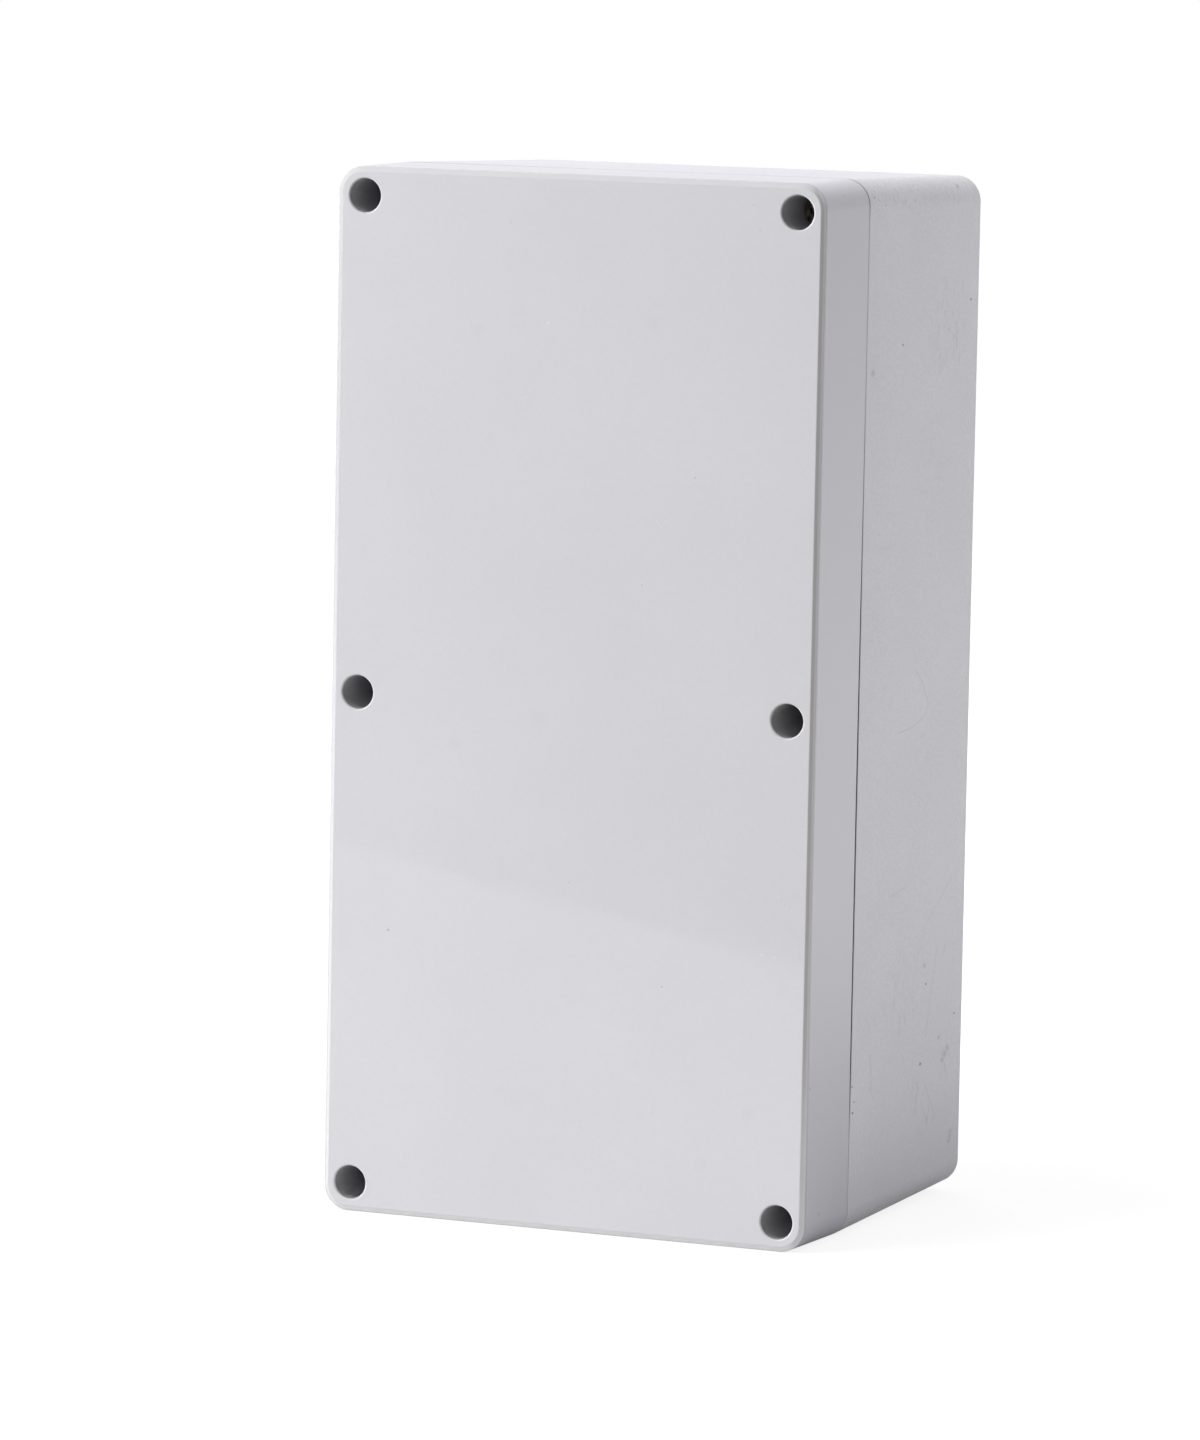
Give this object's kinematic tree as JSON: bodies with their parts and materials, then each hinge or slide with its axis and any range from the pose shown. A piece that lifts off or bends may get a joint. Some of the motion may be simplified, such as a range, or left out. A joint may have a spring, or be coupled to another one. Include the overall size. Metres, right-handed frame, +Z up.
{
  "type": "plastic project box",
  "caption": "Deep light grey plastic enclosure with a screwed lid in front, deep round screw wells, a gasket seam, screw columns, board bosses and hidden wall-fixing holes.",
  "frame": {"origin": "middle of the footprint that the box stands on, on its short lower end", "axes": "+Z up along the long side, -Y out of the lid, +X to the right seen from the lid"},
  "size_m": [0.12, 0.098, 0.24],
  "materials": {
    "lid_plastic": "satin moulded, light grey",
    "base_plastic": "fine matte texture, light grey",
    "gasket_rubber": "black rubber cord",
    "screw_steel": "dulled plated steel",
    "washer_nylon": "natural nylon",
    "insert_brass": "turned"
  },
  "bodies": {
    "base": {"base": "base_plastic", "threaded_insert_top_left": "insert_brass", "threaded_insert_top_right": "insert_brass", "threaded_insert_middle_left": "insert_brass", "threaded_insert_middle_right": "insert_brass", "threaded_insert_bottom_left": "insert_brass", "threaded_insert_bottom_right": "insert_brass"},
    "lid": {"lid": "lid_plastic", "gasket": "gasket_rubber"},
    "washer_top_left": {"screw_washer_top_left": "washer_nylon"},
    "screw_top_left": {"lid_screw_top_left": "screw_steel"},
    "washer_top_right": {"screw_washer_top_right": "washer_nylon"},
    "screw_top_right": {"lid_screw_top_right": "screw_steel"},
    "washer_middle_left": {"screw_washer_middle_left": "washer_nylon"},
    "screw_middle_left": {"lid_screw_middle_left": "screw_steel"},
    "washer_middle_right": {"screw_washer_middle_right": "washer_nylon"},
    "screw_middle_right": {"lid_screw_middle_right": "screw_steel"},
    "washer_bottom_left": {"screw_washer_bottom_left": "washer_nylon"},
    "screw_bottom_left": {"lid_screw_bottom_left": "screw_steel"},
    "washer_bottom_right": {"screw_washer_bottom_right": "washer_nylon"},
    "screw_bottom_right": {"lid_screw_bottom_right": "screw_steel"}
  },
  "joints": [
    {"name": "lid_lift", "type": "slide", "parent": "base", "child": "lid", "axis": [0, -1, 0], "range_m": [0, 0.06]},
    {"name": "screw_travel_top_left", "type": "slide", "parent": "lid", "child": "washer_top_left", "axis": [0, -1, 0], "range_m": [0, 0.0119]},
    {"name": "screw_turn_top_left", "type": "hinge", "parent": "washer_top_left", "child": "screw_top_left", "pos_m": [-0.05315, -0.0265, 0.23325], "axis": [0, -1, 0], "range_deg": [0, 6125]},
    {"name": "screw_travel_top_right", "type": "slide", "parent": "lid", "child": "washer_top_right", "axis": [0, -1, 0], "range_m": [-0.007, 0.0049]},
    {"name": "screw_turn_top_right", "type": "hinge", "parent": "washer_top_right", "child": "screw_top_right", "pos_m": [0.05315, -0.0265, 0.23325], "axis": [0, -1, 0], "range_deg": [-3605, 2525]},
    {"name": "screw_travel_middle_left", "type": "slide", "parent": "lid", "child": "washer_middle_left", "axis": [0, -1, 0], "range_m": [0, 0.0119]},
    {"name": "screw_turn_middle_left", "type": "hinge", "parent": "washer_middle_left", "child": "screw_middle_left", "pos_m": [-0.05315, -0.0265, 0.12], "axis": [0, -1, 0], "range_deg": [0, 6125]},
    {"name": "screw_travel_middle_right", "type": "slide", "parent": "lid", "child": "washer_middle_right", "axis": [0, -1, 0], "range_m": [0, 0.0119]},
    {"name": "screw_turn_middle_right", "type": "hinge", "parent": "washer_middle_right", "child": "screw_middle_right", "pos_m": [0.05315, -0.0265, 0.12], "axis": [0, -1, 0], "range_deg": [0, 6125]},
    {"name": "screw_travel_bottom_left", "type": "slide", "parent": "lid", "child": "washer_bottom_left", "axis": [0, -1, 0], "range_m": [0, 0.0119]},
    {"name": "screw_turn_bottom_left", "type": "hinge", "parent": "washer_bottom_left", "child": "screw_bottom_left", "pos_m": [-0.05315, -0.0265, 0.00675], "axis": [0, -1, 0], "range_deg": [0, 6125]},
    {"name": "screw_travel_bottom_right", "type": "slide", "parent": "lid", "child": "washer_bottom_right", "axis": [0, -1, 0], "range_m": [0, 0.0119]},
    {"name": "screw_turn_bottom_right", "type": "hinge", "parent": "washer_bottom_right", "child": "screw_bottom_right", "pos_m": [0.05315, -0.0265, 0.00675], "axis": [0, -1, 0], "range_deg": [0, 6125]}
  ],
  "couplings": [
    {"joint": "screw_turn_top_left", "follows": "screw_travel_top_left", "rad_per_m": 8976},
    {"joint": "screw_turn_top_right", "follows": "screw_travel_top_right", "rad_per_m": 8976},
    {"joint": "screw_turn_middle_left", "follows": "screw_travel_middle_left", "rad_per_m": 8976},
    {"joint": "screw_turn_middle_right", "follows": "screw_travel_middle_right", "rad_per_m": 8976},
    {"joint": "screw_turn_bottom_left", "follows": "screw_travel_bottom_left", "rad_per_m": 8976},
    {"joint": "screw_turn_bottom_right", "follows": "screw_travel_bottom_right", "rad_per_m": 8976}
  ]
}
